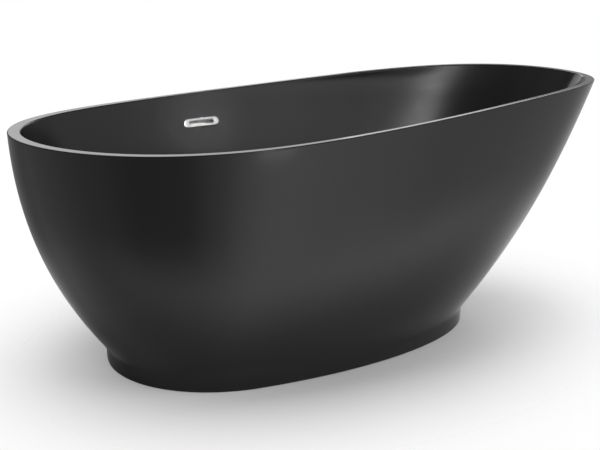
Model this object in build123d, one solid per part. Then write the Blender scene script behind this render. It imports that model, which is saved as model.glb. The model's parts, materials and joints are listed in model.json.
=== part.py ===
# Freestanding slipper bathtub: black double-skin acrylic body on an oval plinth,
# timber base, steel frame on four screw feet, pop-up waste and slot overflow.
# Millimetres, +Z up, origin on the floor under the middle of the bath.
# X runs along the bath (+X is the high backrest end), +Y is the overflow side.
import os
from math import cos, exp, log, radians, sin, sqrt, tan

from build123d import *

os.makedirs("parts", exist_ok=True)

# Overall size.
length = 1700.0
width = 770.0
half_l = length / 2
half_w = width / 2

# Rim line z(x), seen from the side: heights at the low end, the middle and the high end,
# then two terms that dip the low third and lift the high third.
rim_low = 685.3
rim_mid = 704.8
rim_high = 743.7
rim_swing = 39.6
rim_swell = 12.7
rim_plate = 6.0
rim_outer_r = 3.0
rim_inner_r = 5.0

# Plinth.
plinth_h = 50.0
plinth_low_x = -648.3
plinth_high_x = 462.2
plinth_half_w = 288.7
neck_r = 22.0
foot_edge_r = 2.5

# How the outer walls belly out between the plinth and the rim. At the ends they leave the plinth
# in a crease, along the sides higher up and softly.
low_belly = 234.0
low_belly_2 = 28.9
high_reach = 1.3
high_belly = 160.8
high_belly_2 = 39.6
side_belly = 96.0
side_neck_z = 74.0
side_neck_soft = 10.0
egg_x_rim = -185.0
egg_x_plinth = -275.0
side_ref_z = 692.0
neck_levels = (65, 80, 95, 110, 125, 140)
wall_levels = (240, 340, 440, 540, 640, 755)

# Acrylic.
shell_t = 6.0
basin_t = 5.5

# Inside of the basin.
floor_z = 145.0
rim_w_low = 32.0
rim_w_high = 30.0
rim_w_side = 18.0
floor_low_x = -615.0
floor_high_x = 420.0
floor_half_w = 200.0
egg_x_floor = -235.0
side_bend = 12.0
in_low_belly = 85.0
in_high_belly = 90.0
floor_r = 85.0
bowl_levels = (220, 310, 420, 530, 620, 655, 680, 700, 725, 755)

# Base board and steel frame.
board_t = 15.0
board_x = (-540.0, 335.0)
board_half_w = 162.0
board_corner_r = 60.0
board_hole_r = 45.0
tube = 30.0
tube_wall = 2.0
rail_y = 140.0
rail_x = (-540.0, 330.0)
cross_x = (-470.0, -60.0, 230.0)
rail_plug_face = 3.0
rail_plug_depth = 12.0
screw_x = (-380.0, -150.0, 100.0)
screw_r = 2.5
screw_grip = 11.0
screw_head_r = 5.5
screw_head_h = 3.0
screw_head_edge = 1.4

# Screw feet, M12.
foot_x = (-470.0, 230.0)
stud_r = 6.0
stud_gap = 0.06
stud_clear = 1.0
stud_top = 108.0
stud_tip = 1.2
stud_seat = 0.05
collar_af = 17.0
collar_h = 8.0
collar_gap = 0.4
nut_af = 19.0
weld_nut_h = 10.0
lock_nut_h = 7.0
pad_r = 25.0
pad_h = 10.0
pad_edge_r = 3.0
pad_neck_r = 13.0
pad_top = 20.0
pad_socket = 8.0

# Waste and overflow share one station along the bath.
fit_x = -285.0

# Waste: flange, seals and tee.
waste_hole_r = 26.0
flange_r = 36.0
flange_t = 3.0
flange_edge_r = 2.0
tail_r = 24.0
tail_bore_r = 21.0
tail_foot = 98.0
top_seal_t = 2.0
top_seal_r = 34.0
bottom_seal_t = 4.0
bottom_seal_r = 35.0
seal_bore_r = 25.0
hub_r = 9.0
hub_bore_r = 5.0
hub_z = (104.0, 110.0)
arm_w = 4.0
arm_reach = (6.0, 22.5)
tee_r = 30.0
tee_foot = 50.0
tee_wall = 4.0
tee_bore_r = 22.0
tee_thread_z = 96.0
tee_collar_r = 36.0
tee_collar_h = 7.0
outlet_r = 20.0
outlet_bore_r = 17.5
outlet_foot = 10.0
branch_z = 72.0
branch_r = 18.0
branch_l = 58.0
branch_socket = 36.0

# Pop-up plug.
plug_lift = 9.0
cap_r = 31.0
cap_t = 6.5
cap_rise = 4.0
plug_seal_r = 29.0
plug_seal_bore_r = 23.0
plug_seal_t = 3.0
plug_seal_gap = 0.3
barrel_r = 7.0
barrel_bore_r = 4.5
barrel_z = (110.0, 134.0)
barrel_bore_z = (112.0, 130.0)
stem_r = 3.0
stem_gap = 0.05
stem_foot = 127.0
stem_head_r = 4.0
stem_head_z = (125.7, 129.7)
spring_pitch = 2.7
spring_l = 12.6
spring_r = 3.3
spring_wire_r = 0.35
spring_foot = 112.55

# Overflow, with depths counted from the face of the wall.
overflow_z = 596.0
overflow_turn = 1.3
trim_l = 112.0
trim_h = 29.0
trim_t = 3.5
trim_edge_r = 1.5
slot_l = 78.0
slot_h = 10.0
sleeve_l = 82.0
sleeve_h = 13.0
sleeve_back = 5.0
wall_slot_l = 83.0
wall_slot_h = 14.0
wall_cut = 14.0
gasket_l = 109.0
gasket_h = 26.0
gasket_t = 2.6
gasket_back = 2.5
cup_l = 116.0
cup_h = 32.0
cup_front = 3.0
cup_back = 26.5
cup_wall = 2.0
cup_hollow_l = 86.0
cup_hollow_h = 20.0
fixing_r = 2.0
fixing_inset = 6.5
fixing_bite = 2.0
fixing_head_r = 3.5
fixing_head_h = 2.2

# Overflow pipe and its nuts.
pipe_r = 13.0
pipe_wall = 2.0
pipe_lean = 13.0
pipe_bend = 60.0
pipe_end_y = 37.0
spout_r = 14.5
spout_l = 76.0
spout_z = 584.0
spout_back = 9.0
spout_socket = 56.0
gap_z = 550.0
nut_l = 20.0
nut_thread_l = 10.0
upper_nut_r = 18.0
lower_nut_r = 22.0

# How far a cutter runs past the face it cuts.
past = 1.0

# Levels that follow from the sizes above.
basin_under = floor_z - basin_t
board_under = basin_under - board_t
rail_under = board_under - tube
lock_nut_under = rail_under - weld_nut_h - lock_nut_h
seat_z = floor_z + top_seal_t
flange_top = seat_z + flange_t
tee_top = basin_under - bottom_seal_t
cap_z = flange_top + plug_lift + plug_seal_t + plug_seal_gap
fixing_u = trim_l / 2 - fixing_inset
pipe_bore_r = pipe_r - pipe_wall


def rim_z(x):
    """Height of the rim's top face above the floor at x."""
    s = x / half_l
    bow = 0.5 * (rim_high + rim_low) - rim_mid
    lean = 0.5 * (rim_high - rim_low)
    swing = rim_swing * s * (1 - s * s)
    swell = rim_swell * s * s * (1 - s * s)
    return rim_mid + lean * s + bow * s * s + swing + swell


def outer_egg(z, inset=0.0):
    """Low end x, high end x, half width and centre x of the outer wall at height z."""
    z = max(z, plinth_h)
    u = (z - plinth_h) / (rim_low - plinth_h)
    bulge = u * (1 - u) * (low_belly + low_belly_2 * (1 - 2 * u))
    x_low = -half_l + (half_l + plinth_low_x) * (1 - u) - bulge
    u = (z - plinth_h) / (rim_high - plinth_h)
    bulge = u * (1 - u) * (high_belly + high_belly_2 * (1 - 2 * u))
    x_high = half_l + high_reach * u - (half_l - plinth_high_x) * (1 - u) + bulge
    u = (z - plinth_h) / (side_ref_z - plinth_h)
    x_mid = egg_x_plinth + (egg_x_rim - egg_x_plinth) * u
    climb = side_neck_soft * log(1 + exp((z - side_neck_z) / side_neck_soft))
    u = climb / (side_ref_z - side_neck_z)
    half = half_w - (half_w - plinth_half_w) * (1 - u) + side_belly * u * (1 - u)
    return x_low + inset, x_high - inset, half - inset, x_mid


def basin_egg(z, outset=0.0):
    """The same four figures for the inside of the basin."""
    u = (z - floor_z) / (rim_low - floor_z)
    top = -half_l + rim_w_low
    x_low = top + (floor_low_x - top) * (1 - u) - in_low_belly * u * (1 - u)
    u = (z - floor_z) / (rim_high - floor_z)
    top = half_l - rim_w_high
    x_high = top + (floor_high_x - top) * (1 - u) + in_high_belly * u * (1 - u)
    u = (z - floor_z) / (side_ref_z - floor_z)
    top = half_w - rim_w_side
    lean = (top - floor_half_w) / (side_ref_z - floor_z)
    half = top - lean * side_bend * log(1 + exp((side_ref_z - z) / side_bend))
    x_mid = egg_x_floor + (egg_x_rim - egg_x_floor) * u
    return x_low - outset, x_high + outset, half + outset, x_mid


def far_y(x, z, figures, offset=0.0):
    """Half the width of an egg at height z and station x."""
    x_low, x_high, half, x_mid = figures(z, offset)
    reach = x_high - x_mid
    if x < x_mid:
        reach = x_mid - x_low
    return half * sqrt(1 - ((x - x_mid) / reach) ** 2)


def egg_wire(z, figures):
    """An egg at height z: a short and a long half ellipse that share their half width."""
    x_low, x_high, half, x_mid = figures
    low = EllipticalCenterArc((x_mid, 0), x_mid - x_low, half, start_angle=90, arc_size=180)
    high = EllipticalCenterArc((x_mid, 0), x_high - x_mid, half, start_angle=270, arc_size=180)
    return Pos(0, 0, z) * Wire([low, high])


def egg_loft(levels, figures, offset):
    """A solid through the eggs at these heights."""
    return Solid.make_loft([egg_wire(z, figures(z, offset)) for z in levels])


def outer_loft(foot, inset):
    """The outer wall as a solid from a foot height up: close sections at the neck, wide ones above."""
    neck = egg_loft((foot, *neck_levels), outer_egg, inset)
    return neck + egg_loft((neck_levels[-1], *wall_levels), outer_egg, inset)


def above_rim(shift):
    """Everything higher than the rim line moved by shift."""
    end = 900
    line = Spline(*[(x, rim_z(x) + shift) for x in range(-end, end + 1, 100)])
    lid = Polyline(
        (end, rim_z(end) + shift), (end, end), (-end, end), (-end, rim_z(-end) + shift)
    )
    return extrude(Plane.XZ * make_face([line, lid]), end / 2, both=True)


def rod(r, z0, z1, x=0.0, y=0.0):
    """An upright cylinder from z0 to z1."""
    return Pos(x, y, z0) * Cylinder(r, z1 - z0, align=(Align.CENTER, Align.CENTER, Align.MIN))


def ring(r_out, r_in, z0, z1, x=0.0, y=0.0):
    """An upright tube from z0 to z1."""
    return rod(r_out, z0, z1, x, y) - rod(r_in, z0 - past, z1 + past, x, y)


def hexagon(across, z0, z1, x=0.0, y=0.0):
    """An upright hexagonal bar, by its width across flats."""
    flat = RegularPolygon(across / 2, 6, major_radius=False)
    return extrude(Pos(x, y, z0) * flat, z1 - z0)


def block(x0, x1, y0, y1, z0, z1):
    """A box between two corners."""
    return Pos((x0 + x1) / 2, (y0 + y1) / 2, (z0 + z1) / 2) * Box(x1 - x0, y1 - y0, z1 - z0)


def bar_x(x0, x1, y, inset):
    """A square bar along X under the board, made smaller all round by inset."""
    half = tube / 2 - inset
    x_low, x_high = min(x0, x1), max(x0, x1)
    return block(x_low, x_high, y - half, y + half, rail_under + inset, board_under - inset)


def bar_y(x, y0, y1, inset):
    """A square bar along Y under the board, made smaller all round by inset."""
    half = tube / 2 - inset
    return block(x - half, x + half, y0, y1, rail_under + inset, board_under - inset)


def oblong(plane, long, tall, w0, w1):
    """A round-ended bar on a plane, from w0 to w1 along its normal."""
    face = SlotOverall(long, tall)
    return extrude(plane.offset(w0) * face, w1 - w0)


def pin(plane, r, w0, w1, u=0.0):
    """A cylinder square to a plane, from w0 to w1 along its normal, u along its x."""
    return extrude(plane.offset(w0) * Pos(u, 0) * Circle(r), w1 - w0)


def on_egg(point, figures):
    """Whether a point is on the egg of its own height, within half a millimetre."""
    x_low, x_high, half, x_mid = figures(point.Z)
    reach = x_high - x_mid
    if point.X < x_mid:
        reach = x_mid - x_low
    radius = sqrt(((point.X - x_mid) / reach) ** 2 + (point.Y / half) ** 2)
    return abs(radius - 1) * half < 0.5


def rim_edges(solid, figures):
    """The edges where the rim's top face meets one of the two walls."""
    found = []
    for edge in solid.edges():
        points = [edge @ t for t in (0.1, 0.35, 0.6, 0.9)]
        level = all(abs(p.Z - rim_z(p.X)) < 0.1 for p in points)
        if level and all(on_egg(p, figures) for p in points):
            found.append(edge)
    return found


def level_edges(solid, z):
    """The edges that lie level at height z."""
    boxes = [(edge, edge.bounding_box()) for edge in solid.edges()]
    return [edge for edge, box in boxes if max(abs(box.min.Z - z), abs(box.max.Z - z)) < 0.1]


def on_plane(edge, plane, height):
    """Whether an edge lies at one height over a plane."""
    points = [plane.to_local_coords(edge @ t) for t in (0.0, 0.3, 0.7)]
    return all(abs(p.Z - height) < 0.01 for p in points)


nodes = {}

# The outline of the whole bath as one solid: plinth, belly and rim line.
belly = outer_loft(plinth_h, 0.0)
plinth = extrude(make_face(egg_wire(0, outer_egg(plinth_h)).edges()), plinth_h)
outline = plinth + belly
outline = fillet(level_edges(outline, plinth_h), neck_r)
outline = fillet(level_edges(outline, 0), foot_edge_r)
outline = outline - above_rim(0)

# Outer skin: open underneath, and it stops under the rim plate. The hollow dips into the plinth's own.
hollow_dip = 4.0
hollow = outer_loft(plinth_h - hollow_dip, shell_t)
hollow_foot = make_face(egg_wire(0, outer_egg(plinth_h, shell_t)).edges())
hollow_foot = Pos(0, 0, -past) * extrude(hollow_foot, plinth_h - 2 * past)
nodes["outer_shell"] = outline - above_rim(-rim_plate) - hollow - hollow_foot

# Basin: rim plate, bowl, rounded floor.
water = egg_loft((floor_z, *bowl_levels), basin_egg, 0.0)
water = fillet(level_edges(water, floor_z), floor_r)
bowl = egg_loft((basin_under, *bowl_levels), basin_egg, basin_t)
bowl = fillet(level_edges(bowl, basin_under), floor_r + basin_t)
lip = outline & above_rim(-rim_plate)
basin = lip + (bowl - above_rim(-rim_plate / 2)) - water
basin = fillet(rim_edges(basin, outer_egg), rim_outer_r)
basin = fillet(rim_edges(basin, basin_egg), rim_inner_r)

# Where the overflow sits: on the far wall, square to its slope, a hair turned in its holes.
near = 5.0
wall_y = far_y(fit_x, overflow_z, basin_egg)
across = far_y(fit_x + near, overflow_z, basin_egg) - far_y(fit_x - near, overflow_z, basin_egg)
rise = far_y(fit_x, overflow_z + near, basin_egg) - far_y(fit_x, overflow_z - near, basin_egg)
tangent = Vector(2 * near, across, 0)
facing = tangent.cross(Vector(0, rise, 2 * near))
turn = radians(overflow_turn)
turned = tangent.normalized() * cos(turn) + facing.cross(tangent).normalized() * sin(turn)
wall = Plane(origin=(fit_x, wall_y, overflow_z), x_dir=turned, z_dir=facing)

# Holes in the basin: overflow slot, two screw holes and the waste hole.
basin = basin - oblong(wall, wall_slot_l, wall_slot_h, -wall_cut, wall_cut)
for u in (-fixing_u, fixing_u):
    basin = basin - pin(wall, fixing_r, -wall_cut, wall_cut, u)
basin = basin - rod(waste_hole_r, basin_under - past, floor_z + past, fit_x)
nodes["inner_basin"] = basin

# Base board bonded under the basin floor.
board_mid = (board_x[0] + board_x[1]) / 2
board = RectangleRounded(board_x[1] - board_x[0], 2 * board_half_w, board_corner_r)
board = extrude(Pos(board_mid, 0, board_under) * board, board_t)
board = board - rod(board_hole_r, board_under - past, basin_under + past, fit_x)

# Frame: two rails, three crossbars between them, plugs in the rail ends.
for name, side in (("near", -1), ("far", 1)):
    y = side * rail_y
    rail = bar_x(*rail_x, y, 0) - bar_x(rail_x[0] - past, rail_x[1] + past, y, tube_wall)
    for x in foot_x:
        rail = rail - rod(stud_r + stud_clear, rail_under - past, rail_under + 2 * tube_wall, x, y)
    for x in screw_x:
        rail = rail - rod(screw_r, rail_under - past, board_under + past, x, y)
        board = board - rod(screw_r, board_under - past, board_under + screw_grip, x, y)
    nodes["frame_rail_" + name] = rail
nodes["base_board"] = board
inner_y = rail_y - tube / 2
for name, x in zip(("low_end", "middle", "high_end"), cross_x):
    bore = bar_y(x, -inner_y - past, inner_y + past, tube_wall)
    nodes["frame_crossbar_" + name] = bar_y(x, -inner_y, inner_y, 0) - bore
count = 0
for y in (-rail_y, rail_y):
    for x, out in ((rail_x[0], -1), (rail_x[1], 1)):
        count += 1
        face = bar_x(x, x + rail_plug_face * out, y, 0)
        nodes[f"rail_plug_{count}"] = face + bar_x(x, x - rail_plug_depth * out, y, tube_wall)
count = 0
for y in (-rail_y, rail_y):
    for x in screw_x:
        count += 1
        shank = rod(screw_r, rail_under, board_under + screw_grip, x, y)
        head = rod(screw_head_r, rail_under - screw_head_h, rail_under, x, y)
        head = fillet(head.edges().group_by(Axis.Z)[0], screw_head_edge)
        nodes[f"frame_screw_{count}"] = shank + head

# Four screw feet.
count = 0
for y in (-rail_y, rail_y):
    for x in foot_x:
        count += 1
        thread = rod(stud_r + stud_gap, lock_nut_under - past, rail_under + past, x, y)
        weld_nut = hexagon(nut_af, rail_under - weld_nut_h, rail_under, x, y)
        lock_nut = hexagon(nut_af, lock_nut_under, rail_under - weld_nut_h, x, y)
        nodes[f"foot_weld_nut_{count}"] = weld_nut - thread
        nodes[f"foot_lock_nut_{count}"] = lock_nut - thread
        stud = rod(stud_r, pad_socket + stud_seat, stud_top, x, y)
        stud = chamfer(stud.edges().group_by(Axis.Z)[-1], stud_tip)
        collar_z = pad_top + collar_gap
        nodes[f"foot_stud_{count}"] = stud + hexagon(collar_af, collar_z, collar_z + collar_h, x, y)
        sole_disc = rod(pad_r, 0, pad_h, x, y)
        sole_disc = fillet(sole_disc.edges().group_by(Axis.Z)[-1], pad_edge_r)
        pad = sole_disc + rod(pad_neck_r, pad_h - past, pad_top, x, y)
        nodes[f"foot_pad_{count}"] = pad - rod(stud_r + stud_gap, pad_socket, pad_top + past, x, y)

# Waste: flange screwed down through the floor into the tee, seals above and below the floor.
flange = rod(flange_r, seat_z, flange_top, fit_x)
flange = fillet(flange.edges().group_by(Axis.Z)[-1], flange_edge_r)
flange = flange + rod(tail_r, tail_foot, seat_z, fit_x)
flange = flange - rod(tail_bore_r, tail_foot - past, flange_top + past, fit_x)
spider = rod(hub_r, *hub_z, fit_x)
for angle in (0, 120, 240):
    arm = block(*arm_reach, -arm_w / 2, arm_w / 2, *hub_z)
    spider = spider + Pos(fit_x, 0, 0) * Rot(0, 0, angle) * arm
hub_bore = rod(hub_bore_r, hub_z[0] - past, hub_z[1] + past, fit_x)
nodes["waste_flange"] = flange + spider - hub_bore
nodes["waste_top_seal"] = ring(top_seal_r, seal_bore_r, floor_z, seat_z, fit_x)
nodes["waste_bottom_seal"] = ring(bottom_seal_r, seal_bore_r, tee_top, basin_under, fit_x)
tee = rod(tee_r, tee_foot, tee_top, fit_x)
tee = tee + rod(tee_collar_r, tee_top - tee_collar_h, tee_top, fit_x)
tee = tee + rod(outlet_r, outlet_foot, tee_foot + past, fit_x)
along_y = Plane(origin=(fit_x, 0, branch_z), x_dir=(1, 0, 0), z_dir=(0, 1, 0))
tee = tee + pin(along_y, branch_r, 0, branch_l)
tee = tee - rod(tail_r, tee_thread_z, tee_top + past, fit_x)
tee = tee - rod(tee_bore_r, tee_foot + tee_wall, tee_thread_z + past, fit_x)
tee = tee - rod(outlet_bore_r, outlet_foot - past, tee_foot + tee_wall + past, fit_x)
tee = tee - pin(along_y, pipe_bore_r, 0, branch_socket + past)
nodes["waste_tee"] = tee - pin(along_y, pipe_r, branch_socket, branch_l + past)

# Pop-up plug, drawn open: cap, seal and stem slide in a cartridge held by the flange.
cartridge = rod(hub_bore_r, tail_foot, hub_z[1], fit_x) + rod(barrel_r, *barrel_z, fit_x)
cartridge = cartridge - rod(barrel_bore_r, *barrel_bore_z, fit_x)
guide = rod(stem_r + stem_gap, barrel_bore_z[1] - past, barrel_z[1] + past, fit_x)
nodes["plug_cartridge"] = cartridge - guide
nodes["plug_stem"] = rod(stem_r, stem_foot, cap_z, fit_x) + rod(stem_head_r, *stem_head_z, fit_x)
dome_r = (cap_r**2 + cap_rise**2) / (2 * cap_rise)
dome = Pos(fit_x, 0, cap_z + cap_t - dome_r) * Sphere(dome_r)
nodes["plug_cap"] = rod(cap_r, cap_z, cap_z + cap_t + past, fit_x) & dome
nodes["plug_seal"] = ring(plug_seal_r, plug_seal_bore_r, cap_z - plug_seal_t, cap_z, fit_x)
coil = Helix(spring_pitch, spring_l, spring_r)
wire_face = Plane(origin=coil @ 0, z_dir=coil % 0) * Circle(spring_wire_r)
nodes["plug_spring"] = Pos(fit_x, 0, spring_foot) * sweep(wire_face, coil, is_frenet=True)
steps = 280
turn_steps = 30
line = [coil @ (i / steps) for i in range(steps + 1)]
pairs = [(i, j) for i in range(steps + 1) for j in range(i + turn_steps, steps + 1)]
apart = min((line[i] - line[j]).length for i, j in pairs)
print("spring wire clears itself by", round(apart - 2 * spring_wire_r, 2), "mm")

# Overflow: chrome trim, gasket shaped to the wall, housing behind it.
trim_face = gasket_t + trim_t
trim = oblong(wall, trim_l, trim_h, gasket_t, trim_face)
trim = fillet(trim.edges().filter_by(lambda e: on_plane(e, wall, trim_face)), trim_edge_r)
trim = trim + oblong(wall, sleeve_l, sleeve_h, -sleeve_back, gasket_t + past)
trim = trim - oblong(wall, slot_l, slot_h, -sleeve_back - past, trim_face + past)
seal = oblong(wall, gasket_l, gasket_h, -gasket_back, gasket_t)
seal = seal - oblong(wall, wall_slot_l, wall_slot_h, -gasket_back - past, gasket_t + past)
cup = oblong(wall, cup_l, cup_h, -cup_back, -cup_front)
cup = cup - oblong(wall, cup_hollow_l, cup_hollow_h, cup_wall - cup_back, 0)

# The overflow pipe runs midway between the two skins, then bends in under the floor.
lean = radians(pipe_lean)
gap_y = far_y(fit_x, gap_z, basin_egg, basin_t) / 2 + far_y(fit_x, gap_z, outer_egg, shell_t) / 2


def pipe_axis(z):
    """A point on the straight upper run of the pipe."""
    return (fit_x, gap_y - (gap_z - z) * tan(lean), z)


down = (0, -sin(lean), -cos(lean))
mouth = Plane(origin=pipe_axis(spout_z), x_dir=(1, 0, 0), z_dir=down)
cup = cup + pin(mouth, spout_r, 0, spout_l)
cup = cup - pin(mouth, pipe_bore_r, -spout_back, spout_l + past)
cup = cup - pin(mouth, pipe_r, spout_socket, spout_l + past)
for u in (-fixing_u, fixing_u):
    hole = pin(wall, fixing_r, -cup_back - past, gasket_t + fixing_bite, u)
    trim = trim - hole
    seal = seal - hole
    cup = cup - hole
cup = cup - basin
seal = seal - basin
nodes["overflow_trim"] = trim
nodes["overflow_gasket"] = max(seal.solids(), key=lambda one: one.volume)
nodes["overflow_housing"] = max(cup.solids(), key=lambda one: one.volume)
for count, u in ((1, -fixing_u), (2, fixing_u)):
    shank = pin(wall, fixing_r, -cup_back, gasket_t + fixing_bite, u)
    head = pin(wall, fixing_head_r, -cup_back - fixing_head_h, -cup_back, u)
    nodes[f"overflow_screw_{count}"] = shank + head
upper_end = mouth.offset(spout_socket).origin
route = FilletPolyline(
    upper_end, pipe_axis(branch_z), (fit_x, pipe_end_y, branch_z), radius=pipe_bend
)
start = Plane(origin=route @ 0, x_dir=(1, 0, 0), z_dir=route % 0)
pipe = sweep(start * Circle(pipe_r), route)
nodes["overflow_pipe"] = pipe - sweep(start * Circle(pipe_bore_r), route)
for name, plane, r, thread_r, end in (
    ("upper", mouth, upper_nut_r, spout_r, spout_l),
    ("lower", along_y, lower_nut_r, branch_r, branch_l),
):
    first = end - nut_thread_l
    nut = pin(plane, r, first, first + nut_l)
    nut = nut - pin(plane, thread_r, first - past, end)
    nodes["pipe_nut_" + name] = nut - pin(plane, pipe_r, first - past, first + nut_l + past)

for name, solid in nodes.items():
    export_step(solid, f"parts/{name}.step")
print(len(nodes), "nodes")
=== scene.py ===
# %% [markdown]
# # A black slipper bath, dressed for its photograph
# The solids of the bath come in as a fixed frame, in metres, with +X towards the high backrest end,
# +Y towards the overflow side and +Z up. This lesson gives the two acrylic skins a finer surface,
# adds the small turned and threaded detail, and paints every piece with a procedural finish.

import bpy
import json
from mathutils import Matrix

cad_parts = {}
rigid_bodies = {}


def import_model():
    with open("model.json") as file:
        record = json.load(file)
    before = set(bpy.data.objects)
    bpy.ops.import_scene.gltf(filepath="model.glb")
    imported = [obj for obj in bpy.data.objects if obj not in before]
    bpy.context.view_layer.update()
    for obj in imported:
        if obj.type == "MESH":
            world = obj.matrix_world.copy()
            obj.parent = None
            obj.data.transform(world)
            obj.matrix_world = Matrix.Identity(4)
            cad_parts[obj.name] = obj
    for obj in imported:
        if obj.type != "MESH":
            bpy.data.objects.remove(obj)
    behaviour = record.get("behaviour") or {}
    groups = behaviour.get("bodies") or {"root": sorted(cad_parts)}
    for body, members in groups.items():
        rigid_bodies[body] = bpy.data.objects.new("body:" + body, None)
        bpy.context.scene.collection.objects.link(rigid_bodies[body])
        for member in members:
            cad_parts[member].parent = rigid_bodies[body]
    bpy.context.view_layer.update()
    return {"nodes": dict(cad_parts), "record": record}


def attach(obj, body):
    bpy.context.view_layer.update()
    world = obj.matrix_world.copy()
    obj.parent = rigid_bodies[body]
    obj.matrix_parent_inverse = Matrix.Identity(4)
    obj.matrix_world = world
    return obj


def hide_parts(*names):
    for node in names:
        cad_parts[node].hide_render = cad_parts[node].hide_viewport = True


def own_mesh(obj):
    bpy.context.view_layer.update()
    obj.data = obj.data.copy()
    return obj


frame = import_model()

# %% [markdown]
# ## The rim line
# Seen from the side, the rim of a slipper bath dips over the low third and rises to the backrest.
# A drawn curve with handles could follow it, but one short polynomial is easier to change: a parabola
# through both ends and the middle, and two terms that vanish at the ends.

# %% Rim line
import numpy as np

HALF_LENGTH = 0.850
HALF_WIDTH = 0.38499
RIM_LOW, RIM_MID, RIM_HIGH = 0.68528, 0.70478, 0.74368
RIM_SWING, RIM_SWELL = 0.0396, 0.0127


def rim_height(x):
    """Height of the rim's top face at x, with s = x / half length:
    parabola + swing s(1-s^2) + swell s^2(1-s^2)."""
    s = x / HALF_LENGTH
    bow = 0.5 * (RIM_HIGH + RIM_LOW) - RIM_MID
    lean = 0.5 * (RIM_HIGH - RIM_LOW)
    ends = 1 - s * s
    return RIM_MID + lean * s + bow * s * s + RIM_SWING * s * ends + RIM_SWELL * s * s * ends


stations = np.linspace(-HALF_LENGTH, HALF_LENGTH, 11)
print("rim heights, mm:", np.round(rim_height(stations) * 1000, 1))

# %% [markdown]
# ## Eggs, one for every height
# A level cut through the bath is an egg: half of a short ellipse at the low end and half of a long one
# at the high end, sharing their width. Four figures describe it: both end stations, the half width
# and the place where the halves meet. Each figure runs in a straight line from plinth to rim, plus a
# bulge u(1-u) that gives the belly. The half width starts to grow higher up and softly, because the
# photograph shows a crease over the plinth only at its ends. Working with figures keeps the whole form
# in two dozen numbers.

# %% The outer wall's egg
PLINTH_TOP = 0.050
PLINTH_LOW, PLINTH_HIGH, PLINTH_HALF = 0.6483, 0.4622, 0.2887
LOW_BELLY, LOW_TILT = 0.234, 0.0289
HIGH_BELLY, HIGH_TILT = 0.1608, 0.0396
HIGH_OVER = 0.0013
SIDE_TOP, SIDE_BELLY = 0.692, 0.096
SIDE_NECK, SIDE_SOFT = 0.074, 0.010
OUTER_MEET, OUTER_DRIFT = -0.275, 0.090


def outer_egg(z, inset=0.0):
    """Low end, high end, half width and centre of the outer wall at height z:
    line from plinth to rim + bulge u(1-u), tilted at the ends by 1-2u."""
    u = (z - PLINTH_TOP) / (RIM_LOW - PLINTH_TOP)
    low = -HALF_LENGTH + (HALF_LENGTH - PLINTH_LOW) * (1 - u)
    low = low - u * (1 - u) * (LOW_BELLY + LOW_TILT * (1 - 2 * u))
    u = (z - PLINTH_TOP) / (RIM_HIGH - PLINTH_TOP)
    high = HALF_LENGTH + HIGH_OVER * u - (HALF_LENGTH - PLINTH_HIGH) * (1 - u)
    high = high + u * (1 - u) * (HIGH_BELLY + HIGH_TILT * (1 - 2 * u))
    centre = OUTER_MEET + OUTER_DRIFT * (z - PLINTH_TOP) / (SIDE_TOP - PLINTH_TOP)
    u = SIDE_SOFT * np.logaddexp(0.0, (z - SIDE_NECK) / SIDE_SOFT) / (SIDE_TOP - SIDE_NECK)
    half = HALF_WIDTH - (HALF_WIDTH - PLINTH_HALF) * (1 - u) + SIDE_BELLY * u * (1 - u)
    return low + inset, high - inset, half - inset, centre


print("outer egg at 300 mm:", np.round(outer_egg(0.300), 4))

# %% The basin's egg
FLOOR = 0.145
FLOOR_LOW, FLOOR_HIGH, FLOOR_HALF = -0.615, 0.420, 0.200
RIM_AT_LOW, RIM_AT_HIGH, RIM_AT_SIDE = 0.032, 0.030, 0.018
LOW_HOLLOW, HIGH_HOLLOW = 0.085, 0.090
SIDE_BEND = 0.012
BASIN_MEET, BASIN_DRIFT = -0.235, 0.050


def basin_egg(z, outset=0.0):
    """The same figures inside the basin. The side wall is straight, then turns upright
    at the rim by b log(1+exp(d/b))."""
    u = (z - FLOOR) / (RIM_LOW - FLOOR)
    top = -HALF_LENGTH + RIM_AT_LOW
    low = top + (FLOOR_LOW - top) * (1 - u) - LOW_HOLLOW * u * (1 - u)
    u = (z - FLOOR) / (RIM_HIGH - FLOOR)
    top = HALF_LENGTH - RIM_AT_HIGH
    high = top + (FLOOR_HIGH - top) * (1 - u) + HIGH_HOLLOW * u * (1 - u)
    top = HALF_WIDTH - RIM_AT_SIDE
    lean = (top - FLOOR_HALF) / (SIDE_TOP - FLOOR)
    half = top - lean * SIDE_BEND * np.logaddexp(0.0, (SIDE_TOP - z) / SIDE_BEND)
    centre = BASIN_MEET + BASIN_DRIFT * (z - FLOOR) / (SIDE_TOP - FLOOR)
    return low - outset, high + outset, half + outset, centre


print("basin egg at 300 mm:", np.round(basin_egg(0.300), 4))

# %% [markdown]
# ## From figures to points
# A turn angle runs round every egg, so a height and an angle together name one point of a wall. More
# helpers find the outward direction in plan, the slope, and the height at which a wall meets the rim
# line. The last one is solved by putting each answer back in, which settles in a few rounds because
# the rim is nearly level.

# %% Wall points
COLUMNS = 360
RIM_ROUNDS = 14
turns = np.linspace(0.0, 2 * np.pi, COLUMNS, endpoint=False)


def wall(egg, z):
    """Wall points at height z: x = centre + reach cos a, y = half width sin a,
    with the reach of the end that a faces."""
    z = z + 0.0 * turns
    low, high, half, centre = egg(z)
    reach = np.where(np.cos(turns) > 0, high - centre, centre - low)
    return np.stack([centre + reach * np.cos(turns), half * np.sin(turns), z], axis=-1)


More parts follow.
